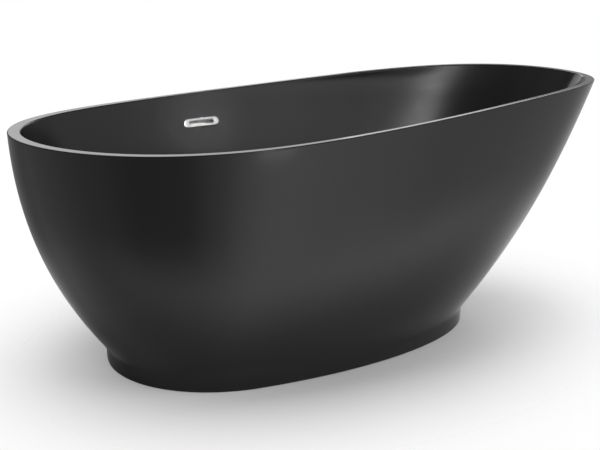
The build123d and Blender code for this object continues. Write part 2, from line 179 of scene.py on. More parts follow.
def outward(egg, z):
    """Unit outward direction in plan: (cos a / reach, sin a / half width, 0), brought to length one."""
    low, high, half, centre = egg(z + 0.0 * turns)
    reach = np.where(np.cos(turns) > 0, high - centre, centre - low)
    plan = np.stack([np.cos(turns) / reach, np.sin(turns) / half, 0 * turns], axis=-1)
    return plan / np.linalg.norm(plan, axis=-1, keepdims=True)


def slope(egg, z):
    """How a wall point moves as its height grows, by a central difference of 0.2 mm."""
    step = 1e-4
    return (wall(egg, z + step) - wall(egg, z - step)) / (2 * step)


def rim_level(egg, drop):
    """Height where a wall meets the rim line lowered by drop:
    z = rim_height(x(z)) - drop, put back in a fixed number of times."""
    z = RIM_MID + 0.0 * turns
    for _ in range(RIM_ROUNDS):
        z = rim_height(wall(egg, z)[:, 0]) - drop
    return z


top = rim_level(outer_egg, 0.0)
print("rim runs from", round(top.min(), 4), "to", round(top.max(), 4), "m")

# %% [markdown]
# ## Rounded corners
# Moulded acrylic has no sharp edge: a thin bright line runs along each rounded one, and that line
# tells the eye what the form does. A Bevel modifier would round every edge alike, so here each corner
# gets its own arc, a conic between the two tangents that meet in the corner.

# %% Corner arcs
def arc(start, corner, end, count):
    """Circular arc with tangents start-corner-end: weights (1-t)^2, 2t(1-t)w and t^2 over their sum,
    with w the sine of half the angle."""
    a, b = start - corner, end - corner
    across = np.sum(a * b, -1) / np.linalg.norm(a, axis=-1) / np.linalg.norm(b, axis=-1)
    w = np.sqrt((1 - across) / 2)[None, :, None]
    t = np.linspace(0.0, 1.0, count)[:, None, None]
    weights = (1 - t) ** 2, 2 * t * (1 - t) * w, t ** 2
    mixed = weights[0] * start + weights[1] * corner + weights[2] * end
    return mixed / (weights[0] + weights[1] + weights[2])


def unit(v):
    """Vectors brought to length one."""
    return v / np.linalg.norm(v, axis=-1, keepdims=True)


def legs(first, second, radius):
    """Length from corner to tangent point for a radius: r sqrt((1 + cos) / (1 - cos)) of the angle."""
    across = np.sum(first * second, -1, keepdims=True)
    return radius * np.sqrt((1 + across) / (1 - across))


def on_rim(points):
    """Points dropped or lifted on to the rim's top face."""
    points = points.copy()
    points[..., 2] = rim_height(points[..., 0])
    return points


square = legs(np.array([1.0, 0.0, 0.0]), np.array([0.0, 0.0, 1.0]), 3.0)
print("a 3 mm round on a square corner starts", square[0], "mm from it")

# %% [markdown]
# ## Outer skin
# The outer skin is one sheet of acrylic drawn over a mould: an upright plinth, a hollow neck, the
# belly, and an edge that stops under the rim plate. The section is carried once round the bath as a
# closed loop: up the outside, over the edge, and down the inside 6 mm behind. The neck's hollow comes
# from reading the egg at a softened height: tight at the low end, wider at the high end and widest
# along the sides, where it fades out.

# %% Neck
NECK_LOW, NECK_HIGH, NECK_SIDE = 0.013, 0.024, 0.090
NECK_BLEND = 0.01
ROUND_PER_SPREAD = 7
LEAST_LEAN = 0.05


def neck_height(z, spread):
    """Height at which the egg is read: plinth top + s log(1+exp((z - plinth top)/s)),
    level below the neck and z above it."""
    return PLINTH_TOP + spread * np.logaddexp(0.0, (z - PLINTH_TOP) / spread)


neck_lean = np.sum(slope(outer_egg, PLINTH_TOP + 0.002) * outward(outer_egg, PLINTH_TOP), -1)
neck_round = NECK_LOW + NECK_HIGH * (1 + np.cos(turns)) / 2
neck_round = neck_round + NECK_SIDE * np.sqrt(np.sin(turns) ** 2 + NECK_BLEND)
neck_spread = np.maximum(neck_lean, LEAST_LEAN) * neck_round / ROUND_PER_SPREAD
print("neck spread, mm:", np.round(neck_spread[::90] * 1000, 2))

# %% Outer section, bottom to top
SKIN = 0.006
RIM_PLATE = 0.006
NECK_END = 0.085


def skin_row(z, inset):
    """One row of the outer skin at height z, inset from the outside."""
    row = wall(lambda h: outer_egg(h, inset), neck_height(z + 0.0 * turns, neck_spread))
    row[:, 2] = z
    return row


edge = rim_level(outer_egg, RIM_PLATE)
low_rows = np.concatenate([np.linspace(0.004, 0.030, 4), np.linspace(0.033, NECK_END, 27)])
share = np.linspace(0.0, 1.0, 76)[1:]
outside = [skin_row(z, 0.0) for z in low_rows]
outside += [skin_row(NECK_END + (edge - NECK_END) * s, 0.0) for s in share]
print("outside rows:", len(outside))

# %% Close the section and lay the mesh
import bpy

SOLE_ROUND = 0.0025
INSIDE_NECK = 0.060


def lay(name, points, smooth_below=40.0):
    """A mesh from a grid of points, rows and columns both closed, one quad for each cell."""
    rows, columns, _ = points.shape
    r, c = np.meshgrid(np.arange(rows), np.arange(columns), indexing="ij")
    up, on = (r + 1) % rows, (c + 1) % columns
    quads = np.stack([r * columns + c, r * columns + on, up * columns + on, up * columns + c], -1)
    mesh = bpy.data.meshes.new(name)
    mesh.from_pydata(points.reshape(-1, 3).tolist(), [], quads.reshape(-1, 4).tolist())
    mesh.polygons.foreach_set("use_smooth", np.ones(rows * columns, bool))
    mesh.set_sharp_from_angle(angle=np.radians(smooth_below))
    piece = bpy.data.objects.new(name, mesh)
    bpy.context.scene.collection.objects.link(piece)
    return piece


sole = outward(outer_egg, PLINTH_TOP) * SOLE_ROUND
foot = skin_row(0.0, 0.0)
sole_arc = arc(foot - sole, foot, foot + np.array([0, 0, SOLE_ROUND]), 6)
inner_edge = rim_level(lambda h: outer_egg(h, SKIN), RIM_PLATE)
share = np.linspace(1.0, 0.0, 40)
inside = [skin_row(INSIDE_NECK + (inner_edge - INSIDE_NECK) * s, SKIN) for s in share]
inside += [skin_row(z, SKIN) for z in np.linspace(0.056, 0.0, 16)]
outer_points = np.concatenate([sole_arc, np.stack(outside), np.stack(inside)])
outer_skin = lay("outer_skin", outer_points)
print("outer skin faces:", len(outer_skin.data.polygons))

# %% [markdown]
# ## Basin
# The basin is the second sheet, formed into a mould and trimmed: a flat rim of changing width, a
# leaning wall, a wide curve into the floor and the hole for the waste. Its section starts at the outer
# lip, crosses the rim, runs down to the waste hole and comes back underneath. Rings that shrink from
# egg to circle close the floor on the waste hole, so no pole of thin triangles is left in the middle.

# %% Rim of the basin
LIP_ROUND, BOWL_ROUND = 0.003, 0.005
NEAR = 0.001

lip_foot = wall(outer_egg, rim_level(outer_egg, RIM_PLATE))
corner = wall(outer_egg, rim_level(outer_egg, 0.0))
down = unit(-slope(outer_egg, corner[:, 2]))
inward = unit(on_rim(corner - NEAR * outward(outer_egg, corner[:, 2])) - corner)
reach = legs(down, inward, LIP_ROUND)
lip_arc = arc(corner + down * reach, corner, corner + inward * reach, 8)

corner = wall(basin_egg, rim_level(basin_egg, 0.0))
over = unit(on_rim(corner + NEAR * outward(basin_egg, corner[:, 2])) - corner)
down = unit(-slope(basin_egg, corner[:, 2]))
reach = legs(over, down, BOWL_ROUND)
bowl_arc = arc(corner + over * reach, corner, corner + down * reach, 10)

share = np.linspace(0.0, 1.0, 8)[1:-1, None, None]
flat = on_rim(lip_arc[-1] + (bowl_arc[0] - lip_arc[-1]) * share)
width = np.round(np.linalg.norm(bowl_arc[0] - lip_arc[-1], axis=-1) * 1000, 1)
print("flat of the rim, mm: ends", width[[0, 180]], "sides", width[[90, 270]])

# %% Wall, floor curve and waste hole
FLOOR_ROUND = 0.085
WASTE_X, WASTE_HOLE = -0.285, 0.026


def floor_curve(egg, floor, radius, count):
    """Arc from the wall to a level floor:
    its tangent point on the wall rises until both legs fit the radius."""
    rise = 0.05 + 0.0 * turns
    inward = -outward(egg, floor)
    for _ in range(10):
        along = unit(slope(egg, floor + rise))
        leg = legs(along, inward, radius)
        rise = (leg * along)[:, 2]
    start = wall(egg, floor + rise)
    corner = start - leg * along
    return arc(start, corner, corner + leg * inward, count)


def hole(radius, z):
    """A ring of points round the waste's axis."""
    return np.stack([WASTE_X + radius * np.cos(turns), radius * np.sin(turns), z + 0 * turns], -1)


def between(egg, top, bottom, count, power):
    """Wall rows from one height to another, closest together at the top for a power over one."""
    share = np.linspace(0.0, 1.0, count + 2)[1:-1] ** power
    return np.stack([wall(egg, top + (bottom - top) * s) for s in share])


curve = floor_curve(basin_egg, FLOOR, FLOOR_ROUND, 30)
bowl_wall = between(basin_egg, bowl_arc[-1][:, 2], curve[0][:, 2], 64, 1.5)
share = np.linspace(0.0, 1.0, 26)[1:, None, None]
bowl_floor = curve[-1] + (hole(WASTE_HOLE, FLOOR) - curve[-1]) * share
print("floor curve starts", np.round((curve[0][::90, 2] - FLOOR) * 1000, 1), "mm over the floor")

# %% Underside of the basin
SHEET = 0.0055


def under_egg(z):
    """The basin's egg, one sheet out: the back of the sheet."""
    return basin_egg(z, SHEET)


under_curve = floor_curve(under_egg, FLOOR - SHEET, FLOOR_ROUND + SHEET, 16)[::-1]
under_hole = hole(WASTE_HOLE, FLOOR - SHEET)
share = np.linspace(0.0, 1.0, 9)[:-1, None, None]
under_floor = under_hole + (under_curve[0] - under_hole) * share
lip_under = rim_level(under_egg, RIM_PLATE)
under_wall = between(under_egg, lip_under, under_curve[-1][:, 2], 26, 1.0)[::-1]
section = [lip_foot[None], lip_arc, flat, bowl_arc, bowl_wall, curve, bowl_floor]
section += [under_floor, under_curve, under_wall, wall(under_egg, lip_under)[None]]
basin_skin = lay("basin_skin", np.concatenate(section))
print("basin faces:", len(basin_skin.data.polygons))

# %% [markdown]
# ## The overflow's seat
# The overflow sits on the far wall, square to the wall's slope and a hair turned in its screw holes.
# One small frame of three directions, along, up and out of the wall, places everything that belongs
# to it.

# %% A frame on the wall
FIT_X, FIT_Z = WASTE_X, 0.596
FIT_TURN = 1.3
ASIDE = 0.005


def far_side(x, z):
    """Half width of the basin's egg at station x and height z:
    half width sqrt(1 - ((x - centre) / reach)^2)."""
    low, high, half, centre = basin_egg(z)
    reach = centre - low if x < centre else high - centre
    return half * np.sqrt(1 - ((x - centre) / reach) ** 2)


seat = np.array([FIT_X, far_side(FIT_X, FIT_Z), FIT_Z])
gain = far_side(FIT_X + ASIDE, FIT_Z) - far_side(FIT_X - ASIDE, FIT_Z)
along = unit(np.array([2 * ASIDE, gain, 0.0]))
gain = far_side(FIT_X, FIT_Z + ASIDE) - far_side(FIT_X, FIT_Z - ASIDE)
out = unit(np.cross(along, np.array([0.0, gain, 2 * ASIDE])))
up = np.cross(out, along)
turn = np.radians(FIT_TURN)
along, up = np.cos(turn) * along + np.sin(turn) * up, np.cos(turn) * up - np.sin(turn) * along


def on_wall(u, v, w):
    """A place on the wall: seat + u along + v up + w out of the wall."""
    return seat + u[..., None] * along + v[..., None] * up + w[..., None] * out


def oblong(straight, radius, w, count=25):
    """Round-ended outline at height w off the wall:
    two half circles of a radius, their centres a straight apart."""
    a = np.concatenate([np.linspace(-0.5, 0.5, count), np.linspace(0.5, 1.5, count)]) * np.pi
    side = np.concatenate([np.ones(count), -np.ones(count)])
    return on_wall(side * straight / 2 + radius * np.cos(a), radius * np.sin(a), w + 0 * a)


print("overflow seat:", np.round(seat, 4), "faces", np.round(out, 3))

# %% [markdown]
# ## Cutting the overflow's holes
# The slot and two screw holes are milled through the finished basin, just as in the workshop. A
# Boolean takes three small bars out of the wall, is applied at once, and the bars are thrown away.
# The plate covers the cut's edges.

# %% Mill the slot and the screw holes
MILL_DEPTHS = (-0.014, 0.014)
MILL_RUN, MILL_END = 0.069, 0.007
DRILL_RUN, DRILL_END, DRILL_AT = 1e-5, 0.002, 0.0495


def bar(name, straight, radius, shift, depths=MILL_DEPTHS):
    """A closed round-ended bar across the wall: two end caps and a strip between its outlines."""
    ends = [oblong(straight, radius, w, 13) + shift for w in depths]
    count = len(ends[0])
    i = np.arange(count)
    on = (i + 1) % count
    faces = np.stack([i, on, on + count, i + count], -1).tolist()
    faces += [i[::-1].tolist(), (i + count).tolist()]
    mesh = bpy.data.meshes.new(name)
    mesh.from_pydata(np.concatenate(ends).tolist(), [], faces)
    piece = bpy.data.objects.new(name, mesh)
    bpy.context.scene.collection.objects.link(piece)
    return piece


for name, straight, radius, middle in (
    ("mill_slot", MILL_RUN, MILL_END, 0.0),
    ("mill_screw_1", DRILL_RUN, DRILL_END, -DRILL_AT),
    ("mill_screw_2", DRILL_RUN, DRILL_END, DRILL_AT),
):
    cutter = bar(name, straight, radius, middle * along)
    cut = basin_skin.modifiers.new(name, "BOOLEAN")
    cut.operation, cut.solver, cut.object = "DIFFERENCE", "EXACT", cutter
    now = basin_skin.evaluated_get(bpy.context.evaluated_depsgraph_get())
    milled = bpy.data.meshes.new_from_object(now)
    basin_skin.modifiers.clear()
    basin_skin.data = milled
    bpy.data.objects.remove(cutter)
print("basin faces after milling:", len(basin_skin.data.polygons))

# %% Both skins ride on the bath
for piece, node in ((outer_skin, "outer_shell"), (basin_skin, "inner_basin")):
    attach(piece, "bath")
    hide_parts(node)
print("skins stand for outer_shell and inner_basin")

# %% [markdown]
# ## Overflow plate
# The plate is a chromed casting: an oblong ring with a soft outer edge, a slightly crowned face, a
# rolled slot lip and a sleeve that reaches through the wall. Every outline from rim to slot is a
# round-ended bar, so the plate is one section, given as straight run, end radius and height, carried
# round them all.

# %% Section of the plate, carried round
PLATE_RUN, PLATE_END, PLATE_BACK, PLATE_FACE = 0.083, 0.0145, 0.0026, 0.0061
EDGE_ROUND, EDGE_FOOT = 0.0015, 0.0041
CROWN_RUN, CROWN_END, CROWN = 0.010, 0.0062, 0.0004
SLOT_RUN, SLOT_END, SLOT_FOOT = 0.068, 0.0050, 0.0020
LIP_RUN, LIP_ROLL = 0.0005, 0.0013
SLEEVE_RUN, SLEEVE_END, SLEEVE_TIP = 0.069, 0.0065, -0.0049

face_end = PLATE_END - EDGE_ROUND
bend = np.linspace(0.0, np.pi / 2, 7)
plate = [(PLATE_RUN, PLATE_END, PLATE_BACK), (PLATE_RUN, PLATE_END, EDGE_FOOT)]
for b in bend:
    rise = PLATE_FACE - EDGE_ROUND * (1 - np.sin(b))
    plate.append((PLATE_RUN, face_end + EDGE_ROUND * np.cos(b), rise))
for s in np.linspace(0.1, 1.0, 9):
    rise = PLATE_FACE + CROWN * np.sin(np.pi * s)
    plate.append((PLATE_RUN - CROWN_RUN * s, face_end - CROWN_END * s, rise))
for b in bend:
    rise = PLATE_FACE - LIP_ROLL * (1 - np.cos(b))
    run = SLOT_RUN + LIP_RUN * (1 - b / bend[-1])
    plate.append((run, SLOT_END + LIP_ROLL * (1 - np.sin(b)), rise))
plate += [(SLOT_RUN, SLOT_END, SLOT_FOOT), (SLOT_RUN, SLOT_END, SLEEVE_TIP)]
plate += [(SLEEVE_RUN, SLEEVE_END, SLEEVE_TIP), (SLEEVE_RUN, SLEEVE_END, PLATE_BACK)]
overflow_plate = lay("overflow_plate", np.stack([oblong(*part) for part in plate]), 50.0)
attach(overflow_plate, "bath")
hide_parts("overflow_trim")
print("overflow plate faces:", len(overflow_plate.data.polygons))

# %% [markdown]
# ## Back of the overflow's cup
# Behind the slot sits a white plastic cup, and the pipe's bore leaves a gap low in its back. A small
# round-ended plate, set into the cup's back, closes that gap, so that the slot shows white plastic and
# not the space between the skins.

# %% Plate in the cup's back
CUP_RUN, CUP_END, CUP_DROP = 0.018, 0.009, 0.002
CUP_DEPTHS = (-0.0266, -0.0247)

cup_plate = bar("overflow_cup_plate", CUP_RUN, CUP_END, -CUP_DROP * up, CUP_DEPTHS)
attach(cup_plate, "bath")
print("cup plate faces:", len(cup_plate.data.polygons))

# %% [markdown]
# ## Plug spring
# Under the plug a thin wire spring pushes it open. It has to shorten when the plug is pressed, so its
# coil is drawn here as a tube along a helix, and the frame squashes it towards its foot. The tube runs
# up as wire and back down as a thread inside itself, which closes both ends.

# %% Spring surface
COIL_FOOT, COIL_LENGTH, COIL_PITCH = 0.11255, 0.0126, 0.0027
COIL_RADIUS, COIL_ROWS = 0.0033, 200
WIRE, WIRE_SIDES = 0.00035, 12


def coil_surface():
    """Tube along a helix: centre + wire radius (cos b N + sin b B),
    with N outward and B across N and the run."""
    t = np.linspace(0.0, 2 * np.pi * COIL_LENGTH / COIL_PITCH, COIL_ROWS)
    t, thick = np.concatenate([t, t[::-1]]), np.repeat([WIRE, 0.1 * WIRE], COIL_ROWS)
    climb = COIL_PITCH * t / (2 * np.pi)
    n = np.stack([np.cos(t), np.sin(t), 0 * t], -1)
    rate = COIL_PITCH / (2 * np.pi) + 0 * t
    run = unit(np.stack([-COIL_RADIUS * np.sin(t), COIL_RADIUS * np.cos(t), rate], -1))
    b = np.linspace(0.0, 2 * np.pi, WIRE_SIDES, endpoint=False)[:, None]
    middle = COIL_RADIUS * n + np.stack([FIT_X + 0 * t, 0 * t, COIL_FOOT + climb], -1)
    across = np.cos(b) * n[:, None] + np.sin(b) * np.cross(run, n)[:, None]
    return middle[:, None] + thick[:, None, None] * across


plug_coil = lay("plug_coil", coil_surface(), 60.0)
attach(plug_coil, "bath")
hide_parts("plug_spring")
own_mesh(plug_coil)
print("spring of", round(COIL_LENGTH / COIL_PITCH, 2), "turns")

# %% [markdown]
# ## Threaded studs
# Each foot is an M12 stud. The solids keep it plain, because only the pitch matters to the joint. Here
# the thread is cut: the radius falls from crest to root and back once for every 1.75 mm of height, and
# the wave runs round with the turn, so that it climbs as a helix. The spanner collar is a hexagon in
# the same formula.

# %% Stud surface
PITCH = 0.00175
THREAD_ROOT, THREAD_DEPTH = 0.00515, 0.00085
STUD_FOOT, STUD_TOP = 0.00805, 0.1080
LOWER_THREAD, UPPER_THREAD = 0.0085, (0.0288, 0.1068)
COLLAR_FOOT, COLLAR_TOP, COLLAR_FLAT = 0.0204, 0.0284, 0.0085
TIP_FOOT, TIP_RADIUS = 0.1065, 0.0048
FEET = ((-0.470, -0.140), (0.230, -0.140), (-0.470, 0.140), (0.230, 0.140))


def stud_surface(x, y):
    """A stud as rings: radius root + depth by a triangle wave of z / pitch - turn, clipped flat
    at crest and root, a hexagon flat / cos a at the collar, a thinner tip."""
    a = np.linspace(0.0, 2 * np.pi, 36, endpoint=False)
    lower = np.arange(LOWER_THREAD, COLLAR_FOOT, PITCH / 6)
    upper = np.arange(*UPPER_THREAD, PITCH / 6)
    collar = [COLLAR_FOOT, COLLAR_FOOT, COLLAR_TOP, COLLAR_TOP]
    z = np.concatenate([[STUD_FOOT], lower, collar, upper, [STUD_TOP, STUD_TOP]])[:, None]
    wave = np.abs(2 * ((z / PITCH - a / (2 * np.pi)) % 1.0) - 1)
    r = THREAD_ROOT + THREAD_DEPTH * np.clip(1.25 * wave - 0.1, 0.0, 1.0)
    r = np.where(z > TIP_FOOT, TIP_RADIUS, r)
    rows = np.arange(len(z))
    first = int(np.argmax(z[:, 0] >= COLLAR_FOOT))
    nut = ((rows == first + 1) | (rows == first + 2))[:, None]
    r = np.where(nut, COLLAR_FLAT / np.cos((a + np.pi / 6) % (np.pi / 3) - np.pi / 6), r)
    r[[0, -1]] = 1e-4
    return np.stack([x + r * np.cos(a), y + r * np.sin(a), z + 0 * a], -1)


for number, (x, y) in enumerate(FEET, 1):
    stud = lay(f"threaded_stud_{number}", stud_surface(x, y), 55.0)
    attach(stud, f"foot_{number}_stud")
    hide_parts(f"foot_stud_{number}")
print("four studs of", len(stud.data.polygons), "faces each")

# %% [markdown]
# ## A kit for finishes
# Every finish is a small tree of nodes on Object coordinates, so the pattern keeps its real size on
# every piece. One helper makes the material and sets whatever is the same all over straight on the
# shader; another adds a node and wires its inputs. The others are short names for the nodes that come
# back in every tree. That keeps each finish short enough to read as a recipe.

# %% Make and wire nodes
def finish(name, **constants):
    """A material with one Principled shader, its constants set on the shader's own sockets."""
    material = bpy.data.materials.new(name)
    material.use_nodes = True
    shader = material.node_tree.nodes["Principled BSDF"]
    for socket, value in constants.items():
        shader.inputs[socket.replace("_", " ")].default_value = value
    return material, shader


def add(material, kind, settings=None, **inputs):
    """Adds a node, applies its settings, and sets each named input,
    or links it when an output is given."""
    node = material.node_tree.nodes.new("ShaderNode" + kind)
    for key, value in (settings or {}).items():
        setattr(node, key, value)
    for key, value in inputs.items():
        socket = node.inputs[int(key[1:]) if key[1:].isdigit() else key.replace("_", " ")]
        if isinstance(value, bpy.types.NodeSocket):
            material.node_tree.links.new(value, socket)
        else:
            socket.default_value = value
    return node


def wire(material, shader, **outputs):
    """Links outputs to the shader's sockets by name."""
    for socket, output in outputs.items():
        material.node_tree.links.new(output, shader.inputs[socket.replace("_", " ")])


print("node helpers: finish, add, wire")

# %% Short names for common nodes
def place(material, scale=(1.0, 1.0, 1.0), turn=(0.0, 0.0, 0.0)):
    """Object coordinates in metres, stretched and turned by a Mapping node."""
    here = add(material, "TexCoord").outputs["Object"]
    return add(material, "Mapping", Vector=here, Scale=scale, Rotation=turn).outputs["Vector"]


def noise(material, where, size, detail=3.0, rough=0.55):
    """Cloudy noise whose features are about size metres across."""
    made = add(material, "TexNoise", Vector=where, Scale=1.0 / size, Detail=detail, Roughness=rough)
    return made.outputs["Fac"]


def bands(material, scale, distortion):
    """Bands in height, as a wave along Z."""
    here = place(material)
    settings = {"bands_direction": "Z"}
    made = add(material, "TexWave", settings, Vector=here, Scale=scale, Distortion=distortion)
    return made.outputs["Fac"]


def spread_to(material, value, low, high, start=0.3, end=0.7, step="LINEAR"):
    """A value between start and end stretched on to a new range, in a line or a smooth step."""
    ends = {"From_Min": start, "From_Max": end, "To_Min": low, "To_Max": high}
    made = add(material, "MapRange", {"interpolation_type": step}, Value=value, **ends)
    return made.outputs["Result"]


def sum_up(material, operation, *values):
    """One Math node on one or two values."""
    inputs = {f"_{number}": value for number, value in enumerate(values)}
    return add(material, "Math", {"operation": operation}, **inputs).outputs[0]


def tint(material, value, dark, light):
    """Two colours mixed by a value."""
    ramp = add(material, "ValToRGB", Fac=value)
    ramp.color_ramp.elements[0].color = (*dark, 1.0)
    ramp.color_ramp.elements[1].color = (*light, 1.0)
    return ramp.outputs["Color"]


def mix(material, share, first, second, kind="MIX"):
    """Two coloured outputs blended by a share."""
    settings = {"data_type": "RGBA", "blend_type": kind}
    return add(material, "Mix", settings, _0=share, _6=first, _7=second).outputs[2]


def bump(material, height, depth, under=None):
    """A bump of a real depth in metres, on top of another bump if one is given."""
    node = add(material, "Bump", Height=height, Distance=depth)
    if under is not None:
        material.node_tree.links.new(under, node.inputs["Normal"])
    return node.outputs["Normal"]


print("short names: place, noise, bands, spread_to, sum_up, tint, mix, bump")

# %% [markdown]
# ## Satin black acrylic
# The sheet is black all through with a matt top layer. Light slides over it as a broad soft sheen, and
# near the outline it turns bright, which the shader gives by itself. What it needs from us is what a
# sheet has: a faint orange peel about two millimetres wide, slow waves left by the mould, and a sheen
# that is a little uneven where hands have wiped it.

# %% Acrylic
CLOUD, WIPE, WAVE, PEEL = 0.22, 0.06, 0.16, 0.0022
WAVE_DEPTH, PEEL_DEPTH = 0.0003, 0.000004

acrylic, shader = finish("satin_black_acrylic", IOR=1.50, Specular_IOR_Level=0.62)
here = place(acrylic)
cloud = noise(acrylic, here, CLOUD, 4.0)
wiped = noise(acrylic, place(acrylic, (1.0, 1.0, 3.0), (0.2, 0.4, 0.1)), WIPE, 5.0)
black = tint(acrylic, cloud, (0.0066, 0.0066, 0.0069), (0.0094, 0.0094, 0.0097))
uneven = spread_to(acrylic, cloud, 0.0, 0.02)
sheen = sum_up(acrylic, "ADD", uneven, spread_to(acrylic, wiped, 0.140, 0.165))
waves = bump(acrylic, noise(acrylic, here, WAVE, 1.0), WAVE_DEPTH)
peel = bump(acrylic, noise(acrylic, here, PEEL, 2.0), PEEL_DEPTH, waves)
wire(acrylic, shader, Base_Color=black, Roughness=sheen, Normal=peel)
print("acrylic nodes:", len(acrylic.node_tree.nodes))

# %% [markdown]
# ## Glass fibre on the backs
# Behind the black face each sheet is stiffened with sprayed glass fibre and resin. It shows from
# underneath: a straw-coloured, lumpy coat with short pale strands lying in every direction. Three
# stretched noises, each turned another way, stand for the strands, because drawing single fibres would
# cost far more and read the same.

# %% Fibre backing
STRAND, LUMP = 0.0016, 0.03
STRAND_DEPTH, LUMP_DEPTH = 0.0002, 0.0012

fibre, shader = finish("glass_fibre_backing", Roughness=0.42, IOR=1.52)
strands = None
for angles in ((0.3, 0.9, 0.2), (1.2, 0.1, 1.0), (0.7, 1.7, 2.1)):
    streak = noise(fibre, place(fibre, (0.06, 1.0, 1.0), angles), STRAND, 2.0)
    streak = spread_to(fibre, streak, 0.0, 1.0, 0.55, 0.75)
    strands = streak if strands is None else sum_up(fibre, "MAXIMUM", strands, streak)
lumps = noise(fibre, place(fibre), LUMP, 4.0)
resin = tint(fibre, lumps, (0.30, 0.25, 0.15), (0.44, 0.38, 0.25))
pale = mix(fibre, strands, resin, (0.66, 0.63, 0.54, 1.0))
coat = bump(fibre, strands, STRAND_DEPTH, bump(fibre, lumps, LUMP_DEPTH))
wire(fibre, shader, Base_Color=pale, Normal=coat)
print("fibre nodes:", len(fibre.node_tree.nodes))

# %% Backs of the outer skin
for piece in (outer_skin, basin_skin):
    piece.data.materials.clear()
    piece.data.materials.append(acrylic)
    piece.data.materials.append(fibre)
outside_rows = len(sole_arc) + len(outside)
rows_of = np.arange(len(outer_skin.data.polygons)) // COLUMNS
outer_skin.data.polygons.foreach_set("material_index", (rows_of >= outside_rows).astype(np.int32))
print("fibre-backed faces on the outer skin:", int((rows_of >= outside_rows).sum()))

# %% Tell the basin's back from its face
MID_SHEET = 0.0025
faces = basin_skin.data.polygons
middles, normals = np.zeros(len(faces) * 3), np.zeros(len(faces) * 3)
faces.foreach_get("center", middles)
faces.foreach_get("normal", normals)
middles, normals = middles.reshape(-1, 3), normals.reshape(-1, 3)
low, high, half, centre = basin_egg(np.maximum(middles[:, 2], FLOOR), MID_SHEET)
ends = np.where(middles[:, 0] > centre, high - centre, centre - low)
ring = np.hypot((middles[:, 0] - centre) / ends, middles[:, 1] / half)
below = middles[:, 2] < rim_height(middles[:, 0]) - SHEET
back = below & ((ring > 1.0) | (normals[:, 2] < -0.3))
faces.foreach_set("material_index", back.astype(np.int32))
print("fibre-backed faces on the basin:", int(back.sum()), "of", len(faces))

# %% [markdown]
# ## Metal finishes
# Chrome is nearly a mirror; faint wiping marks and dried drops keep it from looking like a drawing.
# Zinc plate is greyer, with pale crystal patches a few millimetres wide. Turned brass carries the fine
# rings of the lathe, which on upright parts are simply bands in height.

# %% Chrome
SMEAR, DROP = 0.012, 0.004

chrome, shader = finish("polished_chrome", Metallic=1.0)
smear = noise(chrome, place(chrome, (1.0, 1.0, 4.0), (0.0, 0.5, 0.3)), SMEAR, 5.0)
wire(chrome, shader, Base_Color=tint(chrome, smear, (0.78, 0.79, 0.80), (0.88, 0.885, 0.89)))
wire(chrome, shader, Roughness=spread_to(chrome, smear, 0.05, 0.14))
wire(chrome, shader, Normal=bump(chrome, noise(chrome, place(chrome), DROP, 2.0), 0.000006))
print("chrome nodes:", len(chrome.node_tree.nodes))

# %% Zinc
CRYSTALS, ZINC_GRAIN = 330.0, 0.0008

zinc, shader = finish("zinc_plate", Metallic=1.0)
crystal = add(zinc, "TexVoronoi", Vector=place(zinc), Scale=CRYSTALS).outputs["Color"]
grey = add(zinc, "RGBToBW", Color=crystal).outputs[0]
wire(zinc, shader, Base_Color=tint(zinc, grey, (0.47, 0.48, 0.49), (0.63, 0.63, 0.62)))
wire(zinc, shader, Roughness=spread_to(zinc, grey, 0.28, 0.46, 0.0, 1.0))
wire(zinc, shader, Normal=bump(zinc, noise(zinc, place(zinc), ZINC_GRAIN), 0.00002))
print("zinc nodes:", len(zinc.node_tree.nodes))

# %% Brass
LATHE_RINGS, STAIN = 420.0, 0.01

brass, shader = finish("turned_brass", Metallic=1.0)
rings = bands(brass, LATHE_RINGS, 0.6)
stain = noise(brass, place(brass), STAIN)
wire(brass, shader, Base_Color=tint(brass, stain, (0.60, 0.42, 0.16), (0.76, 0.56, 0.26)))
wire(brass, shader, Roughness=spread_to(brass, rings, 0.20, 0.34, 0.0, 1.0))
wire(brass, shader, Normal=bump(brass, rings, 0.00001))
print("brass nodes:", len(brass.node_tree.nodes))

# %% [markdown]
# ## Moulded plastic and rubber
# White pipe plastic is smooth with a slight mottle; black plugs and nuts have a fine spark-eroded
# grain; rubber is dull, with a bloom of paler dust; the frame's powder coat has a fine grain too. All
# are a base tone, a roughness and a grain, so one recipe serves with other numbers.

# %% One recipe for moulded parts
MOTTLE = 0.018


def moulded(name, dark, light, rough, grain, depth):
    """Moulded part: cloudy tone between two colours, roughness between two values,
    grain of a size and depth in metres."""
    material, shader = finish(name)
    cloud = noise(material, place(material), MOTTLE, 4.0)
    wire(material, shader, Base_Color=tint(material, cloud, dark, light))
    wire(material, shader, Roughness=spread_to(material, cloud, *rough))
    wire(material, shader, Normal=bump(material, noise(material, place(material), grain, 2.0), depth))
    return material


pipe_plastic = moulded(
    "white_pipe_plastic", (0.72, 0.72, 0.70), (0.80, 0.80, 0.78), (0.30, 0.42), 0.0030, 0.00003)
plug_plastic = moulded(
    "black_plug_plastic", (0.020, 0.020, 0.021), (0.034, 0.034, 0.035), (0.42, 0.55), 0.0006, 0.00003)
foot_rubber = moulded(
    "foot_rubber", (0.026, 0.026, 0.027), (0.052, 0.051, 0.050), (0.70, 0.88), 0.0009, 0.00005)
seal_rubber = moulded(
    "seal_rubber", (0.018, 0.018, 0.019), (0.036, 0.036, 0.036), (0.60, 0.78), 0.0007, 0.00003)
frame_coat = moulded(
    "grey_powder_coat", (0.38, 0.39, 0.40), (0.44, 0.45, 0.46), (0.45, 0.58), 0.0013, 0.00006)
print("moulded finishes: 5")

